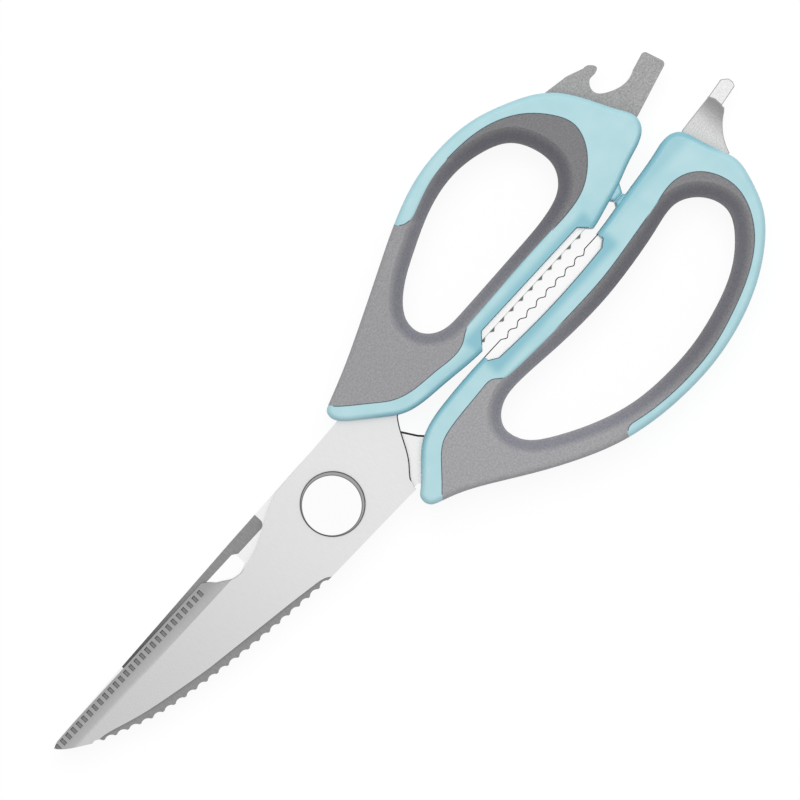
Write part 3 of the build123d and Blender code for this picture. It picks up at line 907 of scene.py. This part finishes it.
# %% Pivot head
dome_rings = 14
rim_height = 0.7 * MM
rim_round = 0.35 * MM
end_margin = 0.1 * MM
crown_height = head_top - blade_top - rim_height
crown_radius = (head_radius ** 2 + crown_height ** 2) / (2 * crown_height)
crown_angle = atan2(head_radius, crown_radius - crown_height)


def upright_disc(radius, low, high, sides):
    """A closed cylinder on the pivot axis, with its place in its mesh."""
    bpy.ops.object.select_all(action="DESELECT")
    bpy.ops.mesh.primitive_cylinder_add(
        vertices=sides, radius=radius, depth=high - low, location=(0, 0, (low + high) / 2)
    )
    bpy.ops.object.transform_apply(location=True, rotation=True, scale=True)
    return bpy.context.object


def grow_dome(piece):
    edit(piece, "FACE")
    choose(piece, "faces", lambda face: face.normal.z > level_share)
    last_radius = head_radius
    last_rise = 0.0
    for ring in range(1, dome_rings + 1):
        angle = crown_angle * (1 - ring / (dome_rings + 1))
        radius = crown_radius * sin(angle)
        rise = crown_radius * cos(angle) - (crown_radius - crown_height)
        lift = (0, 0, rise - last_rise)
        bpy.ops.mesh.extrude_region_move(TRANSFORM_OT_translate={"value": lift})
        bpy.ops.transform.resize(value=(radius / last_radius, radius / last_radius, 1))
        last_radius = radius
        last_rise = rise
    done()


def is_above_foot(edge):
    return edge.verts[0].co.z > blade_top + end_margin


head = upright_disc(head_radius, blade_top, blade_top + rim_height, sides=96)
head.name = "pivot_head"
grow_dome(head)
round_corners(head, rim_round, segments=4, angle=40, test=is_above_foot)

# %% [markdown]
# Under the head a plain shank goes down through both blades to the back. It is hidden when the
# shears are closed, so a second disc with a small chamfer is enough. It is joined to the head,
# because the real bolt is one piece of steel.

# %% Pivot shank
shank_radius = 2.5 * MM
shank_chamfer = 0.3 * MM


def is_shank_end(edge):
    return edge.verts[0].co.z < end_margin


shank = upright_disc(shank_radius, 0, blade_top, sides=64)
round_corners(shank, shank_chamfer, segments=1, angle=60, test=is_shank_end)
head.select_set(True)
bpy.context.view_layer.objects.active = head
bpy.ops.object.join()
coat(head, polished_steel)
finish_piece(head, "pivot_bolt", smooth_angle=30)

# %% [markdown]
# The nutcracker jaws are polished plates with stamped teeth. One bright finish for all would be
# simpler, but the teeth would be lost against the white behind them. So the teeth of the front
# jaw are painted dark all over as painted shade, and the rounded edge of the rear jaw gets painted
# shade too. On both, the side of each tooth that looks towards the blades is painted lighter, as
# painted light. A tooth's corners stand upright, and are rounded before the corners round the
# plate.

# %% Jaws
jaw_lines = (3 * MM, 0.3 * MM, 1 * MM)
jaw_depth = 0.0004 * MM
tooth_y = (-0.45 * MM, -0.25 * MM)
tooth_radius = 0.2 * MM
upright_length = 1 * MM
lit_share = 0.45


# Painted shade on the teeth of the front jaw.
def jaw_tone(material):
    return along(material, "Y", *tooth_y, first=0.95, last=0.16)


toothed_steel = steel(
    "toothed_steel", jaw_tone, jaw_lines, roughness=0.2, contrast=0.02, depth=jaw_depth
)
jaw_steel = steel("jaw_steel", 0.95, jaw_lines, roughness=0.15, contrast=0.02, depth=jaw_depth)


def is_upright(edge):
    return abs(edge.verts[0].co.z - edge.verts[1].co.z) > upright_length


def is_plate_edge(centre, normal):
    return abs(normal.z) < level_share


# Painted light on the side of each tooth that looks towards the blades.
def is_lit_tooth(centre, normal):
    return is_plate_edge(centre, normal) and normal.x > lit_share


def dress_jaw(half, finish, edge_finish, plate_radius):
    jaw = clean_copy(half + "_jaw", half + "_jaw_plate")
    round_corners(jaw, tooth_radius, segments=2, angle=20, test=is_upright)
    round_corners(jaw, plate_radius, segments=2, angle=50)
    coat(jaw, finish)
    coat(jaw, edge_finish, is_plate_edge)
    coat(jaw, nut_steel, is_lit_tooth)
    finish_piece(jaw, half + "_jaw", smooth_angle=30)


dress_jaw("front", toothed_steel, nut_steel, plate_radius=0.12 * MM)
dress_jaw("rear", jaw_steel, painted_shade_steel, plate_radius=0.3 * MM)

# %% [markdown]
# The bottle opener is a plain plate with a tumbled grain. Its outline could be drawn again, but
# the hook and the mouth are all in the CAD part, so only its corners are rounded.

# %% Bottle opener
opener_radius = 0.3 * MM
opener = clean_copy("bottle_opener", "opener_plate")
round_corners(opener, opener_radius, segments=2, angle=30)
coat(opener, tool_steel)
finish_piece(opener, "bottle_opener", smooth_angle=40)

# %% [markdown]
# The screwdriver gets darker from the handle towards its thin end, as painted shade, and that end
# alone is bright. One ramp could do for both, but the bright end starts at a sharp line. So there
# are two finishes, and a test for where the thin end starts.

# %% Screwdriver tip
driver_radius = 0.2 * MM
driver_x = (-131 * MM, -138 * MM)
thin_end_x = -138.2 * MM
driver_depth = 0.002 * MM


# Painted shade towards the thin end.
def driver_tone(material):
    return along(material, "X", *driver_x, first=0.68, last=0.30)


driver_steel = steel(
    "driver_steel", driver_tone, fine_grain, roughness=0.35, contrast=0.18, depth=driver_depth
)
driver_bright = steel(
    "driver_bright", 0.84, fine_grain, roughness=0.25, contrast=0.12, depth=driver_depth
)
driver = clean_copy("screwdriver_tip", "screwdriver_blade")
coat(driver, driver_steel)
coat(driver, driver_bright, lambda centre, normal: centre.x < thin_end_x)
round_corners(driver, driver_radius, segments=2, angle=30, finish=tool_steel)
finish_piece(driver, "screwdriver_tip", smooth_angle=40)

# %% [markdown]
# The washer and the nut lie behind the blades, where little is seen of them. New pieces would add
# nothing to their CAD shapes, so those stay and only get a plain ground finish.

# %% Washer and nut
for name in ("pivot_washer", "pivot_nut"):
    fastener = frame["nodes"][name]
    fastener.data.materials.clear()
    fastener.data.materials.append(nut_steel)
    print(name, "has the finish", nut_steel.name)


# %% [markdown]
# The picture's ground is plain white. A bright lamp could burn it out, but would burn out the pale
# handles as well. So the floor shines by itself at a strength of about 1, and only as the camera
# or the steel sees it. A small part of it still takes the light, so a soft shadow stays.

# %% Floor
floor_width = 6.0
floor_drop = 0.05 * MM
glow_share = 0.88
glow_strength = 1.03
floor_colour = (0.9, 0.9, 0.9, 1)
pure_white = (1, 1, 1, 1)


def seen_or_mirrored(owner):
    """1 for what the camera sees, straight or in steel or through a clear piece, else 0."""
    path = add(owner, "LightPath", {})
    seen = path.outputs["Is Camera Ray"]
    for name in ("Is Glossy Ray", "Is Transmission Ray"):
        seen = compute(owner, "MAXIMUM", seen, path.outputs[name])
    return seen


def white_floor():
    material = new_material("floor_white")
    tree = material.node_tree
    surface(material, {
        "Base Color": floor_colour,
        "Roughness": 1.0,
        "Specular IOR Level": 0.0,
    })
    share = compute(material, "MULTIPLY", seen_or_mirrored(material), glow_share)
    glow = add(material, "Emission", {"Color": pure_white, "Strength": glow_strength})
    matte = tree.nodes["Principled BSDF"].outputs[0]
    mixed = add(material, "MixShader", {0: share, 1: matte, 2: glow.outputs[0]})
    tree.links.new(mixed.outputs[0], tree.nodes["Material Output"].inputs["Surface"])
    return material


bpy.ops.object.select_all(action="DESELECT")
bpy.ops.mesh.primitive_plane_add(size=floor_width, location=(0, 0, -floor_drop))
floor = bpy.context.object
floor.name = "studio_floor"
floor.data.materials.append(white_floor())
floor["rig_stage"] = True
print("floor", floor_width, "m wide")

# %% [markdown]
# The light is plain and soft, as in a light tent: a bright world all round and one wide lamp
# above. Several small lamps would give harder lights and shadows. These two together light a
# level surface so that its colour renders about as it is written. The world is white where the
# camera or the steel sees it, and weaker where it lights the shears.

# %% World
world_light = 0.40
world = bpy.data.worlds.new("studio_world")
bpy.context.scene.world = world
world.use_nodes = True
inputs = {"Value": seen_or_mirrored(world), "To Min": world_light, "To Max": 1.0}
strength = add(world, "MapRange", inputs).outputs[0]
fill(world.node_tree.nodes["Background"], {"Color": pure_white, "Strength": strength})
print("world lights at", world_light)

# %% [markdown]
# The lamp is a wide disc, so that the shadow has no edge. It is hidden from the camera and from
# reflections, because the polished head would show it as a round spot.

# %% Lamp
lamp_place = Vector((-0.5, -0.4, 1.6))
lamp_width = 1.6
lamp_power = 19.5
bpy.ops.object.light_add(type="AREA", location=lamp_place)
lamp = bpy.context.object
lamp.name = "wide_lamp"
lamp.data.shape = "DISK"
lamp.data.size = lamp_width
lamp.data.energy = lamp_power
lamp.rotation_euler = lamp_place.to_track_quat("Z", "Y").to_euler()
lamp.visible_glossy = False
lamp.visible_camera = False
print("lamp of", lamp_power, "watts")

# %% [markdown]
# The camera looks straight down, turned so that the blades point to the lower left of the
# picture, as in the photograph. From close by, the thick handles would lean outwards, so it stands
# far away and its lens is long. The frame is 200 mm wide.

# %% Camera
camera_height = 1.5
sensor_width = 36
frame_width = 200 * MM
frame_centre = Vector((-30.35 * MM, -5.23 * MM, 0))
picture_up = Vector((-0.735, -0.678, 0)).normalized()
backwards = Vector((0, 0, 1))
sideways = picture_up.cross(backwards)

bpy.ops.object.camera_add(location=frame_centre + camera_height * backwards)
camera = bpy.context.object
camera.name = "picture_camera"
camera.data.sensor_width = sensor_width
camera.data.lens = sensor_width * camera_height / frame_width
camera.rotation_euler = Matrix((sideways, picture_up, backwards)).transposed().to_euler()
bpy.context.scene.camera = camera
bpy.context.scene.view_settings.view_transform = "Standard"
print("lens", round(camera.data.lens), "mm")

# %% [markdown]
# The box of the finished picture model is measured, and its corners are printed in millimetres.

# %% Sizes and the end
bpy.context.view_layer.update()
picture_bounds = [list(corner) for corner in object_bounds()]
for corner in picture_bounds:
    print("picture box corner in mm", [round(value / MM, 1) for value in corner])
